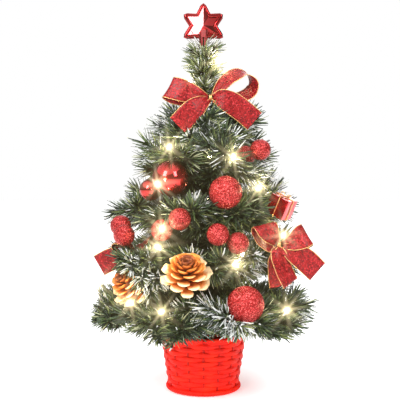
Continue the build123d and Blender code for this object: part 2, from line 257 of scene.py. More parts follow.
NEEDLE_TONES = (
    ("needle_dark", (28, 42, 28), 0.45),
    ("needle_deep", (42, 62, 36), 0.42),
    ("needle_mid", (72, 92, 50), 0.42),
    ("needle_olive", (114, 124, 68), 0.45),
    ("needle_pale", (164, 168, 132), 0.5),
)
SNOW = len(NEEDLE_TONES)
TONE_SHARES = (0.40, 0.29, 0.18, 0.09, 0.04)
# Darker tone shares for the shoots round the trunk: painted shade deep inside the tree.
SHADED_INNER_SHARES = (0.62, 0.28, 0.08, 0.02, 0.0)


def needle_materials():
    """Stamped foil in five tones, with streaks and creases, and the flocking."""
    foils = [plastic(*tone, 900.0, 0.4, 0.0003, (-0.12, 0.15)) for tone in NEEDLE_TONES]
    return foils + [snow_material()]


def grained(name, colour, roughness, tones, scale, height, detail=3.0, strength=0.5,
            metallic=0.0, coat=0.0):
    """Material whose two tones and surface both follow one grain; height is the bump's."""
    mat, shader = new_material(name, linear(*colour), roughness, metallic, coat)
    grain = noise(mat, scale, detail)
    paint(mat, shader, grain, [(place, linear(*tone)) for place, tone in tones])
    bump(mat, shader, grain, strength, height)
    return mat, shader


def wire_material():
    """Green painted wire with worn, uneven colour."""
    tones = ((0.3, (36, 54, 32)), (0.7, (70, 92, 56)))
    return grained("wire_green", (48, 70, 42), 0.5, tones, 500.0, 0.0004, metallic=0.3)[0]


def tape_material():
    """Brown-green tape wound on the trunk in overlapping turns."""
    mat, shader = new_material("trunk_tape", linear(74, 72, 44), 0.7)
    turns = over_object(mat, add_node(mat, "ShaderNodeTexWave", Scale=38.0, Distortion=1.5,
                                      Detail=2.0))
    turns.bands_direction = "Z"
    paint(mat, shader, turns.outputs["Fac"],
          [(0.0, linear(56, 58, 34)), (1.0, linear(96, 90, 56))])
    bump(mat, shader, turns.outputs["Fac"], 0.6, 0.0006)
    return mat


def wicker_material():
    """Dyed woven strand: hot orange-red with darker, browner fibres."""
    mat, shader = new_material("woven_red", linear(250, 36, 12), 0.55)
    shader.inputs["Specular IOR Level"].default_value = 0.22
    broad = noise(mat, 70.0, 4.0)
    paint(mat, shader, broad,
          [(0.3, linear(222, 14, 2)), (0.5, linear(250, 26, 4)),
           (0.75, linear(255, 44, 12))])
    fibre = noise(mat, 900.0, 5.0)
    bump(mat, shader, fibre, 0.5, 0.0005)
    vary_roughness(mat, shader, broad, 0.42, 0.65)
    return mat


def stake_material():
    """Upright canes of the basket, dyed a little deeper than its strands."""
    tones = ((0.3, (176, 8, 2)), (0.75, (226, 24, 8)))
    mat, shader = grained("stake_red", (236, 24, 8), 0.55, tones, 300.0, 0.0004)
    shader.inputs["Specular IOR Level"].default_value = 0.22
    return mat


def plated_material(name, colour, metallic, coat):
    """Vacuum-plated red plastic under clear lacquer."""
    mat, shader = new_material(name, linear(*colour), 0.08, metallic, coat=coat)
    shader.inputs["Coat IOR"].default_value = 1.8
    waves = noise(mat, 60.0, 2.0)
    paint(mat, shader, waves,
          [(0.3, [c * 0.8 for c in linear(*colour)]), (0.7, linear(*colour))])
    bump(mat, shader, waves, 0.04, 0.001)
    vary_roughness(mat, shader, waves, 0.05, 0.12)
    return mat


def glitter_material(name, base, glint_tone, scale):
    """Glitter: flakes of several brightnesses, each tipped its own way; the palest flakes are
    painted glints.
    """
    mat, shader = new_material(name, linear(*base), 0.3, 0.45)
    flakes = cells(mat, scale)
    # The last, palest stop is a painted glint on the flakes.
    paint(mat, shader, flakes,
          [(0.20, [c * 0.55 for c in linear(*base)]), (0.42, linear(*base)),
           (0.66, linear(*base)), (0.86, linear(*glint_tone))])
    bump(mat, shader, flakes, 0.6, 0.0008)
    vary_roughness(mat, shader, flakes, 0.12, 0.45)
    return mat


def gold_material():
    """Bright gold thread and wire edging."""
    tones = ((0.3, (190, 120, 60)), (0.7, (245, 205, 140)))
    return grained("gold_thread", (222, 168, 92), 0.32, tones, 1500.0, 0.0003, detail=2.0,
                   strength=0.6, metallic=0.7)[0]


def cone_material():
    """Copper-sprayed scales, by distance from the cone's axis: darker towards the core as painted
    shade in the gaps between the scales, paler towards their tips.
    """
    mat, shader = new_material("gilt_cone", linear(214, 120, 52), 0.42, 0.35)
    flat = over_object(mat, add_node(mat, "ShaderNodeVectorMath"))
    flat.operation = "MULTIPLY"
    flat.inputs[1].default_value = (1, 1, 0)
    far = add_node(mat, "ShaderNodeVectorMath")
    far.operation = "LENGTH"
    link(mat, flat.outputs["Vector"], far.inputs[0])
    reach = add_node(mat, "ShaderNodeMapRange", From_Min=0.006, From_Max=0.026)
    link(mat, far.outputs["Value"], reach.inputs["Value"])
    grain = noise(mat, 260.0, 4.0)
    add = add_node(mat, "ShaderNodeMath")
    add.operation = "MULTIPLY_ADD"
    add.inputs[1].default_value = 0.35
    link(mat, grain, add.inputs[0])
    link(mat, reach.outputs["Result"], add.inputs[2])
    # The dark brown near the core is painted shade between the scales.
    paint(mat, shader, add.outputs["Value"],
          [(0.15, linear(112, 44, 6)), (0.42, linear(206, 108, 26)),
           (0.78, linear(236, 152, 66)), (1.0, linear(255, 224, 174))])
    bump(mat, shader, grain, 0.6, 0.0008)
    return mat


def ribbon_material():
    """Glitter ribbon: crimson cloth strewn with paler flakes."""
    mat, shader = new_material("ribbon_mesh", linear(130, 3, 11), 0.55, 0.1)
    shader.inputs["Specular IOR Level"].default_value = 0.3
    flakes = cells(mat, 780.0)
    paint(mat, shader, flakes,
          [(0.20, linear(88, 1, 5)), (0.42, linear(134, 2, 8)),
           (0.68, linear(144, 4, 10)), (0.92, linear(196, 52, 58))])
    bump(mat, shader, flakes, 0.8, 0.0006)
    vary_roughness(mat, shader, flakes, 0.25, 0.6)
    return mat


def foil_material():
    """Crinkled red foil over the gift's card."""
    tones = ((0.3, (160, 2, 14)), (0.7, (220, 16, 34)))
    return grained("gift_foil", (196, 6, 22), 0.14, tones, 90.0, 0.002, metallic=0.8,
                   coat=0.6)[0]


def bulb_material():
    """Lit warm-white LED."""
    mat, shader = new_material("led_lit", linear(255, 240, 200), 0.25)
    shader.inputs["Emission Color"].default_value = (*linear(255, 236, 190), 1)
    shader.inputs["Emission Strength"].default_value = 60.0
    ripple = noise(mat, 700.0)
    bump(mat, shader, ripple, 0.2, 0.0003)
    return mat


def plaster_material():
    """Cast plaster with pits and stains."""
    tones = ((0.3, (150, 142, 128)), (0.7, (206, 200, 188)))
    return grained("plaster", (190, 184, 170), 0.85, tones, 160.0, 0.001, detail=6.0,
                   strength=0.8)[0]


# ---- mesh tools ----
def mm(x, y, z):
    """Vector given in millimetres."""
    return Vector((x, y, z)) * MM


def circle(count):
    """Cosine and sine of evenly spaced angles round a turn."""
    angles = [2 * math.pi * k / count for k in range(count)]
    return [(math.cos(a), math.sin(a)) for a in angles]


class Builder:
    """Collects vertices, faces and material numbers of one piece."""

    def __init__(self):
        self.verts = []
        self.faces = []
        self.slots = []

    def add(self, verts, faces, slot=0):
        base = len(self.verts)
        self.verts.extend(verts)
        self.faces.extend(tuple(base + i for i in face) for face in faces)
        self.slots.extend([slot] * len(faces))

    def tube(self, points, radius, sides=8, slot=0, closed=False, flat=1.0, up=None):
        """Tube along points, with end caps unless closed. flat squeezes it across up."""
        points = [Vector(p) for p in points]
        count = len(points)
        ring = circle(sides)
        verts = []
        side = None
        for i, point in enumerate(points):
            if closed:
                along = points[(i + 1) % count] - points[i - 1]
            else:
                along = points[min(i + 1, count - 1)] - points[max(i - 1, 0)]
            along.normalize()
            if up is not None:
                side = along.cross(Vector(up)).normalized()
            elif side is None:
                side = along.orthogonal().normalized()
            else:
                side = (side - along * side.dot(along)).normalized()
            other = side.cross(along)
            verts += [point + side * (c * radius * flat) + other * (s * radius)
                      for c, s in ring]
        faces = []
        rings = count if closed else count - 1
        for i in range(rings):
            j = (i + 1) % count
            for k in range(sides):
                m = (k + 1) % sides
                faces.append((i * sides + k, i * sides + m, j * sides + m, j * sides + k))
        if not closed:
            faces.append(tuple(range(sides - 1, -1, -1)))
            faces.append(tuple((count - 1) * sides + k for k in range(sides)))
        self.add(verts, faces, slot)

    def revolve(self, profile, place, axis, sides=32, slot=0):
        """Surface of (radius, height) points turned about an axis; radius 0 closes it."""
        axis = Vector(axis).normalized()
        side = axis.orthogonal().normalized()
        other = axis.cross(side)
        verts = []
        rings = []
        for radius, height in profile:
            centre = Vector(place) + axis * height
            if radius <= 1e-9:
                rings.append([len(verts)])
                verts.append(centre)
                continue
            rings.append(list(range(len(verts), len(verts) + sides)))
            verts += [centre + side * (c * radius) + other * (s * radius)
                      for c, s in circle(sides)]
        faces = []
        for low, high in zip(rings, rings[1:]):
            for k in range(sides):
                m = (k + 1) % sides
                if len(low) == 1:
                    faces.append((low[0], high[m], high[k]))
                elif len(high) == 1:
                    faces.append((low[k], low[m], high[0]))
                else:
                    faces.append((low[k], low[m], high[m], high[k]))
        self.add(verts, faces, slot)

    def slab(self, top, under, across):
        """Closed thin sheet between two grids of points, each with rows of so many across."""
        rows = len(top) // across
        total = len(top)
        faces = []
        for i in range(rows - 1):
            for k in range(across - 1):
                a = i * across + k
                b = a + across
                faces.append((a, b, b + 1, a + 1))
                faces.append((total + a, total + a + 1, total + b + 1, total + b))
        rim = list(range(across))
        rim += [i * across + across - 1 for i in range(1, rows)]
        rim += [(rows - 1) * across + k for k in range(across - 2, -1, -1)]
        rim += [i * across for i in range(rows - 2, 0, -1)]
        for a, b in zip(rim, rim[1:] + rim[:1]):
            faces.append((a, b, total + b, total + a))
        self.add(top + under, faces)

    def piece(self, name, mats, body, slot, smooth=True):
        """Mesh object of all that was collected, riding on a body."""
        mesh = bpy.data.meshes.new(name)
        mesh.from_pydata([tuple(v) for v in self.verts], [], self.faces)
        for mat in mats:
            mesh.materials.append(mat)
        mesh.polygons.foreach_set("material_index", self.slots)
        if smooth:
            mesh.polygons.foreach_set("use_smooth", [True] * len(mesh.polygons))
        mesh.update()
        piece = add_object(name, mesh)
        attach(piece, body)
        return piece


def islands(node):
    """Vertices of each separate solid of a CAD node, as arrays."""
    mesh = NODES[node].data
    parent = list(range(len(mesh.vertices)))

    def find(i):
        while parent[i] != i:
            parent[i] = parent[parent[i]]
            i = parent[i]
        return i

    places = {}
    for vertex in mesh.vertices:
        key = tuple(round(c, 6) for c in vertex.co)
        if key in places:
            parent[find(vertex.index)] = find(places[key])
        else:
            places[key] = vertex.index
    for edge in mesh.edges:
        a, b = (find(i) for i in edge.vertices)
        parent[a] = b
    groups = {}
    for vertex in mesh.vertices:
        groups.setdefault(find(vertex.index), []).append(tuple(vertex.co))
    return [np.array(group) for group in groups.values()]


def straight(points):
    """Ends and radius of a straight wire or bulb."""
    unique = np.unique(points.round(7), axis=0)
    centre = unique.mean(0)
    _, _, axes = np.linalg.svd(unique - centre)
    along = axes[0]
    spread = (unique - centre) @ along
    offsets = unique - centre - np.outer(spread, along)
    ends = [Vector(centre + along * spread.min()), Vector(centre + along * spread.max())]
    return ends, np.linalg.norm(offsets, axis=1).max()


def wires(node):
    """Ends of each straight wire in a branch node, inner end first, longest wire first."""
    found = [sorted(straight(points)[0], key=lambda end: end.xy.length)
             for points in islands(node)]
    found.sort(key=lambda ends: (ends[0] - ends[1]).length, reverse=True)
    return found


# ---- ornaments' room, kept free of needles ----
def centre_and_half(points):
    """Centre and largest half size of a cloud of points."""
    low, high = points.min(0), points.max(0)
    return Vector((low + high) / 2), float((high - low).max()) / 2


def balls_before(centre, steps, radius, rise=0.0, slope=0.0):
    """Spheres in a row from a place towards the front; steps and rise in millimetres."""
    return [(centre + mm(0, -step, rise + slope * step), radius) for step in steps]


def keep_out_balls():
    """Spheres that needles stay out of: the ornaments, the bulbs and the room before them."""
    balls = []
    for node in NODES:
        if node.startswith(("plain_", "glitter_", "berries")):
            for points in islands(node):
                centre, radius = centre_and_half(points)
                size = points.max(0) - points.min(0)
                if min(size) > 0.8 * max(size) and radius > 5 * MM:
                    balls.append((centre, radius))
                    balls += balls_before(centre, (8, 16, 24, 32, 40), radius * 0.86, rise=3)
        if node.startswith(("pine_cone_front", "gift")):
            centre, radius = centre_and_half(np.concatenate(islands(node)))
            balls += balls_before(centre, (0, 8, 16, 24), radius * 0.82, rise=2)
        if node.startswith("pine_cone_left"):
            centre, _ = centre_and_half(np.concatenate(islands(node)))
            left = centre - mm(12, 0, 0)
            balls += balls_before(left, (0, 8, 16, 24, 32, 40), 10.5 * MM, rise=3)
        if node.startswith(("lights_", "trunk_lead")):
            for points in islands(node):
                centre, radius = centre_and_half(points)
                if radius < 4 * MM:
                    balls += balls_before(centre, (0, 5, 10, 15, 20, 26, 32), 4.2 * MM, slope=0.12)
    return balls


def keep_out_star():
    """Spheres round the star and before its socket."""
    low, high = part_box("star_halves")
    foot = Vector((0, 0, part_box("star_socket")[0].z))
    return (balls_before((low + high) / 2, (0, 10, 20), 17 * MM, rise=2)
            + balls_before(foot, (6, 14, 22), 5.5 * MM, rise=6)
            + balls_before(foot, (6, 14, 22), 5.5 * MM, rise=13))


def keep_out_ribbons():
    """Spheres along the front bows' ribbons, on and before their cloth."""
    balls = []
    for node, reach in (("bow_top", 26), ("bow_right", 18), ("bow_left", 50)):
        knot = Vector(KNOTS[node]) * MM
        for part, stations in BOWS[node].items():
            if node == "bow_left" and part != "left_tail":
                continue
            for point in spline([station[0] for station in stations], 3):
                if node == "bow_left" and point.x > -31:
                    continue
                balls += balls_before(knot + point * MM, range(-2, reach, 8), 10.5 * MM)
    return balls


def blocked(point):
    """True where a point lies in an ornament or right before it."""
    gap = np.linalg.norm(KEEP_OUT - np.array(point), axis=1) - KEEP_OUT_SIZE
    return bool((gap < 0).any())


# ---- needles ----
NEEDLE_LENGTH = 23.0 * MM
NEEDLE_WIDTH = 1.9 * MM
NEEDLE_THICKNESS = 0.5 * MM
NEEDLES_PER_MM = 2.3
SHORTEST_NEEDLE = 6 * MM
SHOOT_RADIUS = 0.5 * MM
STEM_RADIUS = 0.6 * MM
ROOM_ACROSS = 3 * MM
ROOM_DEEP = 14 * MM
FOLIAGE_FOOT = 77 * MM
LOW_CORNER = Vector(CAD_BOX[0]) - Vector((ROOM_ACROSS, ROOM_DEEP, -FOLIAGE_FOOT))
HIGH_CORNER = Vector(CAD_BOX[1]) + Vector((ROOM_ACROSS, ROOM_DEEP, 0))
# Places on the front where the flocking lies thickest.
FLOCKED_PLACES = (
    (6, -38, 300), (72, -38, 262), (26, -92, 212), (46, -84, 204), (-78, -50, 205),
    (-66, -82, 150), (4, -112, 118), (-72, -92, 116), (56, -72, 158), (32, -112, 92),
    (112, -50, 132), (92, -40, 205), (-108, -40, 128),
)


def needle(builder, root, way, bend, length, width, tone, tip_tone):
    """Flat blunt needle of three-sided section, bent once."""
    middle = root + way * (length * 0.5)
    tip = middle + (way + bend).normalized() * (length * 0.5)
    side = way.cross(bend if bend.length > 1e-6 else way.orthogonal()).normalized()
    face = side.cross(way).normalized() * NEEDLE_THICKNESS
    half = side * (width / 2)
    verts = [root - half * 0.6, root + half * 0.6, root + face * 0.6,
             middle - half, middle + half, middle + face,
             tip - half * 0.45, tip + half * 0.45, tip + face * 0.4]
    builder.add(verts, [(0, 2, 1), (0, 1, 4, 3), (1, 2, 5, 4), (2, 0, 3, 5)], tone)
    builder.add(verts[3:], [(0, 1, 4, 3), (1, 2, 5, 4), (2, 0, 3, 5), (3, 4, 5)], tip_tone)


def outside(point):
    """True where a point lies beyond the room that the foliage may take."""
    return not all(LOW_CORNER[k] < point[k] < HIGH_CORNER[k] for k in range(3))


def bristle(builder, start, end, rng, flocked, length=NEEDLE_LENGTH, density=NEEDLES_PER_MM,
            shares=TONE_SHARES, spread=62):
    """Bottle brush of needles round one wire, leaning more forward near its tip."""
    run = end - start
    span = run.length
    along = run.normalized()
    side = along.orthogonal().normalized()
    other = along.cross(side)
    count = int(span / MM * density)
    for i in range(count):
        share = (i + rng.random()) / count
        turn = i * GOLDEN + rng.uniform(-0.5, 0.5)
        near_tip = max(0.0, 1 - (1 - share) * span / (14 * MM))
        lean = math.radians(spread - 36 * near_tip + rng.uniform(-10, 10))
        out = side * math.cos(turn) + other * math.sin(turn)
        way = (along * math.cos(lean) + out * math.sin(lean)).normalized()
        bend = along * rng.uniform(0.12, 0.45) + Vector((0, 0, rng.uniform(-0.14, 0.08)))
        size = length * rng.uniform(0.78, 1.1) * (1 - 0.12 * near_tip)
        root = start + run * share
        if blocked(root):
            continue
        while size > SHORTEST_NEEDLE and (outside(root + way * size)
                                          or any(blocked(root + way * size * part)
                                                 for part in (0.25, 0.5, 0.75, 1.0))):
            size *= 0.8
        if size <= SHORTEST_NEEDLE:
            continue
        tone = rng.choices(range(SNOW), shares)[0]
        tip_tone = min(tone + 1, SNOW - 1) if rng.random() < 0.3 else tone
        if rng.random() < flocked * (0.4 + 0.6 * share):
            tip_tone = SNOW
            if rng.random() < 0.45:
                tone = SNOW
        needle(builder, root, way, bend, size, NEEDLE_WIDTH * rng.uniform(0.8, 1.15),
               tone, tip_tone)


def sprigs(start, end, rng):
    """Side shoots of one wire: a pair at each of three places, each turned to one side."""
    run = end - start
    along = run.normalized()
    level = along.cross(Vector((0, 0, 1))).normalized()
    above = level.cross(along)
    shoots = []
    for share in (0.30, 0.58, 0.84):
        for turn in (-1, 1):
            angle = math.radians(rng.uniform(34, 58))
            roll = rng.uniform(-0.75, 0.55)
            out = (level * turn + above * roll).normalized()
            way = along * math.cos(angle) + out * math.sin(angle)
            root = start + run * min(0.97, share + rng.uniform(-0.06, 0.06))
            size = min(34 * MM, 16 * MM + run.length * 0.22) * rng.uniform(0.8, 1.1)
            tip = root + way * size
            if blocked(root) or blocked(root + way * size * 0.5) or blocked(tip) or outside(tip):
                continue
            shoots.append((root, tip))
    return shoots


def flocking(place, rng):
    """How much of a shoot's needles are white."""
    near = any((place - Vector(spot) * MM).length < 17 * MM for spot in FLOCKED_PLACES)
    if near:
        return 0.75
    chance = 0.20 if place.y > -0.03 else 0.10
    return rng.uniform(0.5, 0.9) if rng.random() < chance else 0.04


# Shoots bent before the left cone and the left bow, and out above the gift: root and tip.
BENT_SHOOTS = {
    "tier_2_left": (((-70, -40, 158), (-66, -86, 141)), ((-64, -38, 156), (-57, -84, 127)),
                    ((-74, -40, 160), (-78, -78, 153)), ((-60, -34, 154), (-50, -82, 140))),
    "tier_3_right": (((58, -4, 208), (74, -18, 248)), ((62, -6, 210), (86, -8, 240))),
    "tier_4_front_right": (((34, -42, 262), (66, -38, 258)), ((28, -40, 258), (58, -52, 250))),
}


def build_branch(node, mats, number):
    """Needles of one branch on its wires and on the shoots between them."""
    rng = random.Random(1000 + number)
    builder = Builder()
    for start, end in wires(node):
        bristle(builder, start, end, rng, flocking(end, rng))
        for root, tip in sprigs(start, end, rng):
            builder.tube([root, tip], SHOOT_RADIUS, sides=5)
            bristle(builder, root, tip, rng, flocking(tip, rng))
    for ends in BENT_SHOOTS.get(node, ()):
        root, tip = (Vector(end) * MM for end in ends)
        builder.tube([root, tip], SHOOT_RADIUS, sides=5)
        bristle(builder, root, tip, rng, 0.5)
    builder.piece("needles_" + node, mats, BODY_OF[node], "branch_wire")


TRUNK_SHOOTS = 64
TRUNK_SHOOTS_FOOT = 74 * MM
LEADER_SHOOTS = 14
# Paler tone shares for the leader: painted light on the top of the tree.
LEADER_LIT_SHARES = (0.06, 0.16, 0.28, 0.32, 0.18)


def build_trunk_needles(mats):
    """Shoots that fill the tree round its trunk, in darker tones as painted shade inside the tree.
    """
    rng = random.Random(77)
    builder = Builder()
    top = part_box("trunk_wrap")[1].z
    for i in range(TRUNK_SHOOTS):
        share = i / (TRUNK_SHOOTS - 1)
        height = TRUNK_SHOOTS_FOOT + (top - 14 * MM - TRUNK_SHOOTS_FOOT) * share
        turn = i * GOLDEN
        reach = 46 * MM - 26 * MM * share
        way = Vector((math.cos(turn), math.sin(turn), 0.35)).normalized()
        root = Vector((0, 0, height)) + way * 5 * MM
        tip = root + way * reach
        if blocked(tip) or blocked((root + tip) / 2):
            continue
        builder.tube([root, tip], SHOOT_RADIUS, sides=5)
        # The darker tones here are painted shade inside the tree.
        bristle(builder, root, tip, rng, 0.0, 26 * MM, 1.7, SHADED_INNER_SHARES)
    builder.piece("needles_trunk", mats, "base", "branch_wire")


def build_leader_needles(mats):
    """The leader's own brush, up to the star's socket, with short shoots up it, in paler tones as
    painted light on the top of the tree.
    """
    rng = random.Random(78)
    builder = Builder()
    foot = Vector((0, 0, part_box("trunk_wrap")[1].z - 8 * MM))
    top = Vector((0, 0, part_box("star_socket")[0].z + 1 * MM))
    bristle(builder, foot, top, rng, 0.22, 25 * MM, 3.8, LEADER_LIT_SHARES, 82)
    for i in range(LEADER_SHOOTS):
        turn = i * GOLDEN
        root = foot + Vector((0, 0, (5 + 4.0 * i) * MM))
        way = Vector((math.cos(turn), math.sin(turn), 0.55)).normalized()
        tip = root + way * 15 * MM
        builder.tube([root, tip], SHOOT_RADIUS, sides=5)
        bristle(builder, root, tip, rng, 0.2, 18 * MM, 3.0, LEADER_LIT_SHARES)
    builder.piece("needles_leader", mats, "base", "branch_wire")


# ---- woven pot ----
WEAVE_ROWS = 12
STAKES = 16
STAKE_RADIUS = 1.15 * MM
FLOOR_STEPS = 24


POT_LOW, POT_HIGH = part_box("pot_weave")
POT_TOP = POT_HIGH.z
POT_TOP_RADIUS = (POT_HIGH.x - POT_LOW.x) / 2
POT_BASE_RADIUS = max(v.co.xy.length for v in NODES["pot_weave"].data.vertices if v.co.z < 1e-5)


def on_circle(radius, angle, z):
    """Point of a level circle about the pot's axis, counted from the front."""
    return (radius * math.sin(angle), -radius * math.cos(angle), z)


def wall_middle(z):
    """Radius of the middle of the pot's wall at a height."""
    return POT_BASE_RADIUS + (POT_TOP_RADIUS - POT_BASE_RADIUS) * z / POT_TOP - 1.5 * MM


def build_pot(strand, stake):
    """Basket woven of flat strands over upright stakes, with plaited foot and rim."""
    weave = Builder()
    pitch = (POT_TOP - 8.0 * MM) / WEAVE_ROWS
    rng = random.Random(5)
    for row in range(WEAVE_ROWS):
        z = 5.4 * MM + pitch * (row + 0.5)
        points = []
        steps = STAKES * 10
        drift = rng.uniform(-0.3, 0.3) * MM
        for k in range(steps):
            a = 2 * math.pi * k / steps
            wave = math.cos(a * STAKES / 2 + math.pi * row)
            lift = drift + 0.35 * MM * math.sin(3 * a + row) + 0.3 * MM * abs(wave)
            points.append(on_circle(wall_middle(z) + 1.0 * MM * wave, a, z + lift))
        weave.tube(points, pitch * 0.60, sides=10, closed=True, flat=0.34, up=(0, 0, 1))
    weave.piece("pot_strands", [strand], "base", "woven_red")
    canes = Builder()
    for k in range(STAKES):
        a = 2 * math.pi * k / STAKES
        heights = [1.2 * MM + (POT_TOP - 2.4 * MM) * i / 8 for i in range(9)]
        canes.tube([on_circle(wall_middle(z), a, z) for z in heights], STAKE_RADIUS)
    canes.piece("pot_stakes", [stake], "base", "woven_red")
    floor = Builder()
    rim = POT_BASE_RADIUS - 1.0 * MM
    profile = [(rim * i / FLOOR_STEPS, 0.0) for i in range(FLOOR_STEPS + 1)]
    profile.append((rim, 2.2 * MM))
    for i in range(FLOOR_STEPS, 0, -1):
        ridge = 0.5 * MM if i % 2 else 0.0
        profile.append(((POT_BASE_RADIUS - 1.6 * MM) * i / FLOOR_STEPS, 2.4 * MM + ridge))
    profile.append((0, 2.4 * MM))
    floor.revolve(profile, (0, 0, 0), (0, 0, 1), sides=96)
    body = floor.piece("pot_floor", [strand], "base", "woven_red")
    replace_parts(body, "pot_weave")
    braids = Builder()
    plait(braids, POT_BASE_RADIUS + 0.8 * MM, 3.4 * MM, 1.25 * MM, 1.75 * MM, 26)
    plait(braids, POT_TOP_RADIUS + 0.2 * MM, POT_TOP - 2.4 * MM, 1.0 * MM, 1.6 * MM, 34)
    rolls = braids.piece("pot_plaits", [strand], "base", "woven_red")
    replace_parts(rolls, "pot_braids")


def plait(builder, radius, z, swing, thickness, turns):
    """Ring of three strands laid round each other."""
    steps = turns * 8
    for strand in range(3):
        points = []
        for k in range(steps):
            a = 2 * math.pi * k / steps
            b = turns * a + 2 * math.pi * strand / 3
            points.append(on_circle(radius + swing * math.cos(b), a, z + swing * math.sin(b)))
        builder.tube(points, thickness, closed=True)


# ---- balls, berries ----
def ball_profile(radius, steps=28):
    """Half circle of a ball, pole to pole."""
    return [(radius * math.sin(math.pi * i / steps), -radius * math.cos(math.pi * i / steps))
            for i in range(steps + 1)]


def ball_parts(node):
    """Centre, radius and stem direction of each ball in a pick's node."""
    balls = []
    stems = []
    for points in islands(node):
        low, high = Vector(points.min(0)), Vector(points.max(0))
        size = high - low
        if min(size) > 0.8 * max(size):
            balls.append(((low + high) / 2, max(size) / 2))
        else:
            stems.append(points)
    parts = []
    outer = [b for b in balls if not any(o is not b and (o[0] - b[0]).length < MM
                                         and o[1] > b[1] for o in balls)]
    for centre, radius in outer:
        stem = min(stems, key=lambda p: np.linalg.norm(p - np.array(centre), axis=1).min())
        far = max(stem, key=lambda p: (Vector(p) - centre).length)
        parts.append((centre, radius, Vector(far)))
    return parts


def build_plain_ball(node, shell, gold):
    """Plated ball with a crimped cap and its stem."""
    centre, radius, foot = ball_parts(node)[0]
    axis = (foot - centre).normalized()
    ball = Builder()
    ball.revolve(ball_profile(radius), centre, axis, sides=64)
    cap_radius = radius * 0.2
    cap = [(cap_radius, radius * 0.97), (cap_radius, radius * 1.07),
           (cap_radius * 0.8, radius * 1.10), (0, radius * 1.10)]
    ball.revolve([(0, radius * 0.9)] + cap, centre, axis, sides=24, slot=1)
    ball.tube([centre + axis * radius * 1.08, foot], STEM_RADIUS, slot=1)
    piece = ball.piece(node + "_finish", [shell, gold], BODY_OF[node], "plated_red")
    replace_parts(piece, node)


def build_glitter(node, glitter, wire, grain):
    """Ball or berries with a crust of grains, on their stems."""
    rng = random.Random(node)
    crust = Builder()
    for centre, radius, foot in ball_parts(node):
        axis = (foot - centre).normalized()
        steps = max(24, int(radius / MM * 2.6))
        start = len(crust.verts)
        crust.revolve(ball_profile(radius, steps), centre, axis, sides=steps * 2)
        for i in range(start, len(crust.verts)):
            way = (crust.verts[i] - centre).normalized()
            crust.verts[i] = crust.verts[i] + way * rng.uniform(-grain, 0.15 * grain)
        crust.tube([centre + axis * radius * 0.98, foot], STEM_RADIUS, slot=1)
    piece = crust.piece(node + "_finish", [glitter, wire], BODY_OF[node], "glitter_red",
                        smooth=False)
    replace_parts(piece, node)


# ---- star ----
STAR_INNER = 0.54
STAR_FOLD = 6.6 * MM
STAR_BEAD = 2.8 * MM


def star_corners(centre, radius):
    """Corners in X and Z of a six-pointed star without its lowest point."""
    corners = []
    for step in range(12):
        if step == 6:
            continue
        reach = radius * (1 if step % 2 == 0 else STAR_INNER)
        angle = math.radians(30 * step)
        corners.append(centre + Vector((math.sin(angle), 0, math.cos(angle))) * reach)
    return corners


def rounded(corners, cut):
    """Closed line with each corner cut back and rounded."""
    line = []
    count = len(corners)
    for i, corner in enumerate(corners):
        before = (corners[i - 1] - corner).normalized()
        after = (corners[(i + 1) % count] - corner).normalized()
        line += [corner + before * cut, corner + (before + after) * cut * 0.22,
                 corner + after * cut]
    return line


def build_star(mat, shaded_plating_mat):
    """Plated star: a raised round rim, a folded face on its left and facets on its right. The rim
    and the right facets take a darker copy of the plating as painted shade.
    """
    low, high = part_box("star_halves")
    radius = (high.z - low.z) / (1 + 0.5)
    centre = Vector((0, 0, high.z - radius))
    star = Builder()
    inner = star_corners(centre, radius * 0.80)
    for front in (-1, 1):
        apex = centre + Vector((0, front * STAR_FOLD, 0))
        for i, corner in enumerate(inner):
            after = inner[(i + 1) % len(inner)]
            edge = []
            for point in (corner, after):
                left = point.x < 0.2 * MM
                fold = STAR_FOLD * (1 - abs(point.x) / radius) if left else 1.2 * MM
                edge.append(Vector((point.x, front * fold, point.z)))
            # The right facets take the darker copy of the plating: painted shade.
            shade_slot = 0 if corner.x + after.x < 0 else 1
            star.add([apex, *edge], [(0, 1, 2) if front < 0 else (0, 2, 1)], shade_slot)
            foot = [Vector((point.x, 0, point.z)) for point in (after, corner)]
            star.add(edge + foot, [(0, 1, 2, 3) if front > 0 else (0, 3, 2, 1)], shade_slot)
    facets = star.piece("star_faces", [mat, shaded_plating_mat], "star", "plated_red", smooth=False)
    bead = Builder()
    line = rounded(star_corners(centre, radius - STAR_BEAD / 2), 2.6 * MM)
    bead.tube(line, STAR_BEAD, sides=16, closed=True, up=(0, 1, 0))
    rim = bead.piece("star_rim", [shaded_plating_mat], "star", "plated_red")
    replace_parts(facets, "star_halves")
    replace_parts(rim, "star_halves")


# ---- pine cones ----
CONE_REACH = 29.0 * MM
CONE_LENGTH = 34 * MM
CONE_SCALES = 46


def build_cone(node, mat, axis, number):
    """Open cone: thick scales in spiral rows round a core, standing steeper to its tip."""
    rng = random.Random(number)
    low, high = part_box(node)
    centre = (low + high) / 2
    cone = Builder()
    profile = [(0, -CONE_LENGTH * 0.42)]
    for i in range(1, 12):
        t = i / 12
        profile.append((7.0 * MM * math.sin(math.pi * t) ** 0.6 * (1 - 0.35 * t),
                        CONE_LENGTH * (t - 0.46)))
    profile.append((0, CONE_LENGTH * 0.44))
    cone.revolve(profile, (0, 0, 0), (0, 0, 1), sides=20)
    for i in range(CONE_SCALES):
        t = (i + 0.5) / CONE_SCALES
        z = CONE_LENGTH * (-0.28 + 0.58 * t)
        reach = CONE_REACH * (1.0 - 0.62 * t ** 1.5) * (0.86 + 0.14 * min(1, t * 5))
        rise = math.radians(-6 + 80 * t ** 1.15)
        add_scale(cone, z, i * GOLDEN, reach, rise, rng)
    piece = cone.piece(node + "_scales", [mat], BODY_OF[node], "gilt_cone")
    turn = Vector((0, 0, 1)).rotation_difference(Vector(axis).normalized())
    piece.matrix_world = Matrix.Translation(centre) @ turn.to_matrix().to_4x4()
    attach(piece, BODY_OF[node])
    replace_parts(piece, node)


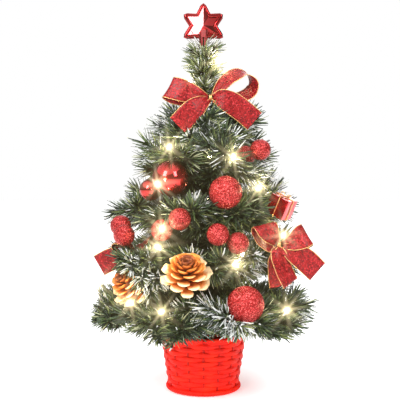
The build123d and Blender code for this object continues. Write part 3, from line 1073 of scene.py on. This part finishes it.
def add_scale(cone, z, turn, reach, rise, rng):
    """One woody scale: narrow at its root, broad and thick at its blunt, upturned end."""
    out = Vector((math.cos(turn), math.sin(turn), 0))
    side = Vector((-math.sin(turn), math.cos(turn), 0))
    up = Vector((0, 0, 1))
    rows = 7
    across = 5
    width = (5.0 * MM + reach * 0.34) * rng.uniform(0.9, 1.1)
    reach *= rng.uniform(0.93, 1.05)
    top = []
    under = []
    for i in range(rows):
        s = i / (rows - 1)
        tilt = rise + 0.5 * s * s
        centre = out * (reach * s * math.cos(rise)) + up * (
            z + reach * s * math.sin(rise) + 0.14 * reach * s * s)
        half = width / 2 * (0.42 + 0.62 * s ** 0.8)
        if i == rows - 1:
            half *= 0.70
        normal = (up * math.cos(tilt) - out * math.sin(tilt)).normalized()
        thick = (1.6 + 1.7 * s) * MM if i < rows - 1 else 1.5 * MM
        for k in range(across):
            u = 2 * k / (across - 1) - 1
            point = centre + side * (u * half) + normal * (0.20 * half * u * u)
            edge = 1 - 0.55 * u * u
            top.append(point + normal * thick * 0.5 * edge)
            under.append(point - normal * thick * 0.5 * edge)
    cone.slab(top, under, across)


# ---- ribbons ----
RIBBON_HALF = 12.5 * MM
RIBBON_THICK = 0.35 * MM
EDGE_RADIUS = 0.42 * MM


def spline(points, per_span=10):
    """Smooth line through points (Catmull-Rom)."""
    points = [Vector(p) for p in points]
    ends = [points[0] * 2 - points[1]] + points + [points[-1] * 2 - points[-2]]
    out = []
    for i in range(1, len(ends) - 2):
        a, b, c, d = ends[i - 1], ends[i], ends[i + 1], ends[i + 2]
        for k in range(per_span):
            t = k / per_span
            out.append(0.5 * ((2 * b) + (c - a) * t + (2 * a - 5 * b + 4 * c - d) * t * t
                              + (3 * b - 3 * c + d - a) * t ** 3))
    out.append(points[-1])
    return out


def build_ribbon(name, knot, stations, cloth, gold, body):
    """Strip of ribbon along stations of (place, across, share of width), in millimetres.

    Places are counted from the knot. Gold wires run along both edges.
    """
    centre = [Vector(knot) + p * MM for p in spline([s[0] for s in stations])]
    across = [a.normalized() for a in spline([s[1] for s in stations])]
    share = [v.x for v in spline([(s[2], 0, 0) for s in stations])]
    columns = 11
    grid = []
    for i, point in enumerate(centre):
        along = (centre[min(i + 1, len(centre) - 1)] - centre[max(i - 1, 0)]).normalized()
        side = (across[i] - along * across[i].dot(along)).normalized()
        normal = along.cross(side)
        row = []
        pinch = 1 - share[i]
        for k in range(columns):
            u = 2 * k / (columns - 1) - 1
            pleat = pinch * 2.2 * MM * math.cos(u * 7.0)
            ripple = 0.25 * MM * math.sin(i * 0.55 + u * 2.0)
            row.append(point + side * (u * RIBBON_HALF * share[i]) + normal * (pleat + ripple))
        grid.append((row, normal))
    strip = Builder()
    front, back = ([p + normal * (RIBBON_THICK * lift) for row, normal in grid for p in row]
                   for lift in (0.5, -0.5))
    strip.slab(front, back, columns)
    piece = strip.piece(name, [cloth], body, "ribbon_mesh")
    edging = Builder()
    for end in (0, -1):
        edging.tube([row[end] for row, _ in grid], EDGE_RADIUS, sides=6)
    wire = edging.piece(name + "_edges", [gold], body, "ribbon_mesh")
    return piece


def build_knot(name, knot, gold, body):
    """Gold thread wound round the gathered cloth, with its two short ends."""
    rng = random.Random(name)
    tie = Builder()
    knot = Vector(knot)
    for turn in range(4):
        points = [knot + mm((turn - 1.5) * 0.8, 2.6 * c, 3.3 * s)
                  for c, s in circle(20)]
        tie.tube(points, 0.55 * MM, sides=6, closed=True)
    for side in (-1, 1):
        points = [knot, knot + mm(side * 2, -3, -2),
                  knot + Vector((side * (5 + rng.random()), -4.5, -5)) * MM,
                  knot + Vector((side * (7 + rng.random()), -3.5, -9)) * MM]
        tie.tube(spline(points, 5), 0.5 * MM, sides=6)
    tie.piece(name, [gold], body, "ribbon_mesh")


BOWS = {
    "bow_top": {
        "left_loop": [
            ((-3, 1, 0), (0.3, 0, 1), 0.3), ((-16, -5, 3), (0.35, 0.1, 1), 0.75),
            ((-32, -6, 8), (0.42, 0.1, 0.9), 1.0), ((-45, -2, 11.5), (0.5, 0, 0.86), 1.0),
            ((-48, 4, 11), (0.5, 0, 0.86), 1.0), ((-40, 8, 6), (0.5, 0, 0.86), 1.0),
            ((-22, 7, 1), (0.4, 0, 0.9), 0.8), ((-4, 3, -1), (0.3, 0, 1), 0.3),
        ],
        "right_loop": [
            ((3, 1, 1), (0.5, -0.6, -0.8), 0.3), ((12, 2, 14), (0.55, -0.6, -0.5), 0.7),
            ((26, 3, 26), (0.5, -0.7, -0.5), 0.95), ((40, 3, 27), (0.45, -0.8, -0.45), 1.0),
            ((48, 2, 17), (0.4, -0.8, -0.4), 1.0), ((44, 2, 6), (0.4, -0.8, -0.4), 1.0),
            ((28, 3, 0), (0.4, -0.7, -0.5), 0.8), ((5, 2, -1), (0.3, -0.6, -0.8), 0.3),
        ],
        "left_tail": [
            ((-2, -3, -1), (-0.75, 0, 0.5), 0.35), ((-10, -8, -6), (-0.72, 0, 0.6), 0.7),
            ((-20, -11, -15), (-0.66, 0.0, 0.75), 1.0), ((-37, -10, -32), (-0.7, 0.1, 0.7), 1.0),
        ],
        "right_tail": [
            ((3, -3, -1), (0.2, 0, 1), 0.35), ((11, -8, -1), (0.35, 0, 1), 0.8),
            ((24, -10, -7), (0.5, 0, 0.86), 1.0), ((38, -9, -17), (0.62, 0, 0.78), 1.0),
            ((50, -6, -27), (0.64, 0, 0.77), 1.0),
        ],
    },
    "bow_right": {
        "left_loop": [
            ((-2, 1, 1), (0.8, 0.2, 0.5), 0.3), ((-8, -4, 10), (0.9, 0.2, 0.3), 0.75),
            ((-14, -6, 19), (0.95, 0.3, 0.2), 1.0), ((-18, 0, 22), (0.9, 0.4, 0.2), 1.0),
            ((-21, 6, 14), (0.7, 0.7, 0.0), 0.95), ((-17, 6, 1), (0.5, 0.85, 0.0), 0.9),
            ((-8, 4, -5), (0.5, 0.8, 0.3), 0.6), ((-2, 2, -2), (0.8, 0.3, 0.4), 0.3),
        ],
        "right_loop": [
            ((4, 1, 0), (-0.1, 0.1, 1), 0.3), ((15, -4, 4), (-0.25, 0.2, 0.95), 0.75),
            ((24, -5, 9), (-0.5, 0.2, 0.85), 1.0), ((30, 0, 12), (-0.5, 0.3, 0.85), 1.0),
            ((30, 6, 9), (-0.4, 0.3, 0.9), 1.0), ((20, 9, 3), (-0.2, 0.3, 0.95), 0.9),
            ((4, 3, -1), (0, 0.1, 1), 0.3),
        ],
        "middle_tail": [
            ((-1, -3, -2), (0.9, 0, -0.1), 0.35), ((-1, -6, -9), (0.8, 0.45, 0.2), 0.8),
            ((3, -7, -22), (0.7, 0.6, 0.35), 0.95), ((12, -6, -41), (0.68, 0.62, 0.25), 1.0),
        ],
        "back_tail": [
            ((0, 2, -3), (0.9, 0.2, 0.1), 0.35), ((0, 6, -14), (0.95, 0.2, 0.1), 0.9),
            ((1, 10, -30), (0.95, 0.2, 0.1), 1.0), ((3, 13, -47), (0.95, 0.2, 0.1), 1.0),
        ],
        "right_tail": [
            ((4, -1, -2), (0.1, 0, 1), 0.35), ((14, -3, -7), (0.45, 0, 0.9), 0.8),
            ((27, -3, -15), (0.62, 0, 0.8), 1.0), ((42, 0, -29), (0.66, 0.1, 0.76), 1.0),
        ],
    },
    "bow_left": {
        "left_loop": [
            ((-3, 1, 0), (0.2, 0.9, 0.3), 0.3), ((-12, -2, 8), (0.2, 0.9, 0.2), 0.9),
            ((-22, 0, 12), (0.2, 0.9, 0.2), 1.0), ((-26, 2, 7), (0.2, 0.9, 0.2), 1.0),
            ((-18, 2, 0), (0.2, 0.9, 0.2), 0.9), ((-3, 1, -1), (0.2, 0.9, 0.3), 0.3),
        ],
        "back_loop": [
            ((1, 3, 1), (0.8, 0, 0.5), 0.3), ((3, 11, 7), (0.8, 0, 0.5), 0.9),
            ((7, 19, 9), (0.8, 0, 0.5), 1.0), ((8, 20, 3), (0.8, 0, 0.5), 1.0),
            ((5, 12, -1), (0.8, 0, 0.5), 0.9), ((1, 4, -1), (0.8, 0, 0.5), 0.3),
        ],
        "left_tail": [
            ((-3, -2, -1), (0.5, 0, -0.86), 0.35), ((-14, -4, -4), (0.4, 0, -0.9), 0.85),
            ((-29, -4, -9), (0.55, 0, -0.83), 1.0), ((-44, -2, -17), (0.74, 0, -0.67), 1.0),
        ],
    },
}


KNOTS = {"bow_top": (8, -30, 341), "bow_right": (82, -76, 177), "bow_left": (-76, -28, 166)}


def build_bows(cloth, gold):
    for node, parts in BOWS.items():
        knot = Vector(KNOTS[node]) * MM
        body = BODY_OF[node]
        pieces = [build_ribbon(f"{node}_{part}", knot, stations, cloth, gold, body)
                  for part, stations in parts.items()]
        build_knot(node + "_tie", knot, gold, body)
        for piece in pieces:
            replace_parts(piece, node)


# ---- gift ----
GIFT_HALF = 11.8 * MM
GIFT_TURN = (Matrix.Rotation(math.radians(14), 4, "X") @ Matrix.Rotation(math.radians(20), 4, "Y")
             @ Matrix.Rotation(math.radians(-36), 4, "Z"))


def build_gift(foil, gold):
    """Foil-wrapped box with soft dents, crossed gold cords and a small thread bow."""
    node = "gift_box"
    low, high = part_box(node)
    centre = (low + high) / 2
    box = Builder()
    steps = 12
    for axis in range(3):
        for sign in (-1, 1):
            verts = []
            for i in range(steps + 1):
                for k in range(steps + 1):
                    u = 2 * i / steps - 1
                    v = 2 * k / steps - 1
                    point = Vector((0, 0, 0))
                    point[axis] = sign
                    point[(axis + 1) % 3] = u
                    point[(axis + 2) % 3] = v
                    edge = max(abs(u), abs(v))
                    round_off = 0.04 * max(0.0, edge - 0.8) / 0.2
                    dent = 0.05 * (1 - u * u) * (1 - v * v) * (
                        0.5 + 0.5 * math.sin(3.1 * u + 2.3 * v + axis))
                    size = GIFT_HALF * (1 - round_off * 0.5) * (1 - dent)
                    verts.append(GIFT_TURN @ (point * size) + centre)
            faces = []
            for i in range(steps):
                for k in range(steps):
                    a = i * (steps + 1) + k
                    quad = (a, a + 1, a + steps + 2, a + steps + 1)
                    faces.append(quad if sign < 0 else quad[::-1])
            box.add(verts, faces)
    piece = box.piece("gift_wrap", [foil], BODY_OF[node], "gift_foil")
    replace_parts(piece, node)
    cords = Builder()
    for axis in (0, 1):
        points = []
        for c, s in circle(48):
            big = max(abs(c), abs(s))
            point = Vector((0, 0, s / big))
            point[axis] = c / big
            points.append(GIFT_TURN @ (point * (GIFT_HALF + 0.35 * MM)) + centre)
        cords.tube(points, 0.55 * MM, sides=6, closed=True)
    top = Vector((0, 0, GIFT_HALF))
    for side in (-1, 1):
        loop = [(0, 0, 0.5), (3 * side, 1.2, 3.5), (6 * side, 0.5, 4), (5 * side, -1, 1.2),
                (0, 0, 0.6)]
        tail = [(0, 0, 0.5), (3 * side, -3, 1.5), (5 * side, -6, 0.8)]
        for line, radius in ((loop, 0.45 * MM), (tail, 0.4 * MM)):
            cords.tube([GIFT_TURN @ (top + Vector(p) * MM) + centre for p in spline(line, 5)],
                       radius, sides=6)
    cords.piece("gift_cord", [gold], BODY_OF[node], "gift_foil")


# ---- lights ----
GLOW_POWER = 0.022


def build_lights(node, bulb, lead):
    """Bulbs and leads of a light node, with a small warm lamp at each bulb."""
    body = BODY_OF[node]
    leads = Builder()
    bulbs = Builder()
    for points in islands(node):
        (start, end), radius = straight(points)
        if radius > 1.2 * MM and (end - start).length < 8 * MM:
            add_bulb(bulbs, start, end)
            glow(f"glow_{node}_{len(bulbs.verts)}", (start + end) / 2, body)
        else:
            leads.tube([start, end], STEM_RADIUS)
    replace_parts(leads.piece(node + "_leads", [lead], body, "lead"), node)
    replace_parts(bulbs.piece(node + "_bulbs", [bulb], body, "led_bulb"), node)


def add_bulb(builder, start, end):
    """Rice-grain bulb with a collar."""
    length = (end - start).length
    axis = (end - start).normalized()
    profile = [(0, 0), (1.3 * MM, 0), (1.3 * MM, length * 0.2), (1.65 * MM, length * 0.25),
               (1.65 * MM, length * 0.62), (1.35 * MM, length * 0.82),
               (0.8 * MM, length * 0.95), (0, length)]
    builder.revolve(profile, start, axis, sides=16)


def glow(name, place, body):
    """Small warm lamp that lights the needles round a bulb."""
    light = bpy.data.lights.new(name, "POINT")
    light.energy = GLOW_POWER
    light.color = (1.0, 0.84, 0.45)
    light.shadow_soft_size = 4 * MM
    lamp = add_object(name, light)
    lamp.location = place + Vector((0, 0, 4 * MM))
    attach(lamp, body)


def glare(tree, kind, source, **values):
    """Glare node of one kind over an image, with its inputs set by name."""
    node = tree.nodes.new("CompositorNodeGlare")
    node.glare_type = kind
    node.quality = "HIGH"
    for name, value in values.items():
        node.inputs[name.replace("_", " ")].default_value = value
    tree.links.new(source.outputs["Image"], node.inputs["Image"])
    return node


def add_glints():
    """Soft warm glow and thin star rays round the lit bulbs, as a lens draws them."""
    bpy.context.scene.use_nodes = True
    tree = bpy.context.scene.node_tree
    rays = glare(tree, "STREAKS", tree.nodes["Render Layers"], Threshold=6.0, Strength=0.12,
                 Streaks=8, Streaks_Angle=math.radians(9), Iterations=3, Fade=0.87,
                 Color_Modulation=0.1)
    halo = glare(tree, "BLOOM", rays, Threshold=6.0, Strength=0.9, Size=0.5,
                 Tint=(1.0, 0.93, 0.76, 1))
    tree.links.new(halo.outputs["Image"], tree.nodes["Composite"].inputs["Image"])


# ---- ornaments' room, worked out once ----
KEEP_OUT_ALL = keep_out_balls() + keep_out_star() + keep_out_ribbons()
KEEP_OUT = np.array([tuple(centre) for centre, _ in KEEP_OUT_ALL])
KEEP_OUT_SIZE = np.array([radius for _, radius in KEEP_OUT_ALL]) + 0.6 * MM


def main():
    make_camera()
    make_room()
    make_floor()
    make_lamps()
    bpy.context.scene.view_settings.view_transform = "Standard"
    needles = needle_materials()
    wire = wire_material()
    tape = tape_material()
    plated = plated_material("plated_red", (190, 8, 14), 1.0, 1.0)
    # Darker copy of the plating for the star's rim and right facets: painted shade.
    bead = plated_material("plated_painted_shade", (136, 2, 5), 1.0, 0.2)
    lacquer = plated_material("lacquer_red", (186, 2, 5), 0.95, 0.45)
    gold = gold_material()
    # The pale second colour of the glitter and the berries is painted glints.
    glitter = glitter_material("glitter_red", (160, 4, 9), (240, 104, 100), 1150.0)
    berry = glitter_material("berry_red", (150, 4, 10), (238, 98, 96), 1200.0)
    cone = cone_material()
    cloth = ribbon_material()
    lead = plastic("lead_green", (30, 62, 36), 0.45)
    bulb = bulb_material()
    finishes = {
        "ballast": plaster_material(), "trunk_core": wire, "trunk_wrap": tape,
        "tier_bindings": wire, "star_socket": plated,
        "battery_case": plastic("case_plastic", (34, 44, 34), 0.5),
        "battery_lid": plastic("lid_plastic", (38, 48, 38), 0.45),
        "battery_switch": plastic("switch_plastic", (16, 16, 16), 0.35),
        "battery_cells": plastic("cell_jacket", (120, 124, 130), 0.3),
    }
    for node, mat in finishes.items():
        NODES[node].data.materials.clear()
        NODES[node].data.materials.append(mat)
    branches = [node for node in NODES if node.startswith("tier_") and node != "tier_bindings"]
    for number, node in enumerate(sorted(branches)):
        NODES[node].data.materials.clear()
        NODES[node].data.materials.append(wire)
        build_branch(node, needles, number)
    build_trunk_needles(needles)
    build_leader_needles(needles)
    build_pot(wicker_material(), stake_material())
    for node in ("plain_ball_large", "plain_ball_small"):
        build_plain_ball(node, lacquer, gold)
    for node in ("glitter_ball_upper", "glitter_ball_lower"):
        build_glitter(node, glitter, wire, 0.45 * MM)
    for node in sorted(n for n in NODES if n.startswith("berries")):
        build_glitter(node, berry, wire, 0.4 * MM)
    build_star(plated, bead)
    build_cone("pine_cone_front", cone, (0.05, -0.57, 0.82), 11)
    build_cone("pine_cone_left", cone, (-0.6, -0.5, 0.6), 12)
    build_bows(cloth, gold)
    build_gift(foil_material(), gold)
    for node in sorted(n for n in NODES if n.startswith(("lights_", "trunk_lead"))):
        build_lights(node, bulb, lead)
    add_glints()


main()
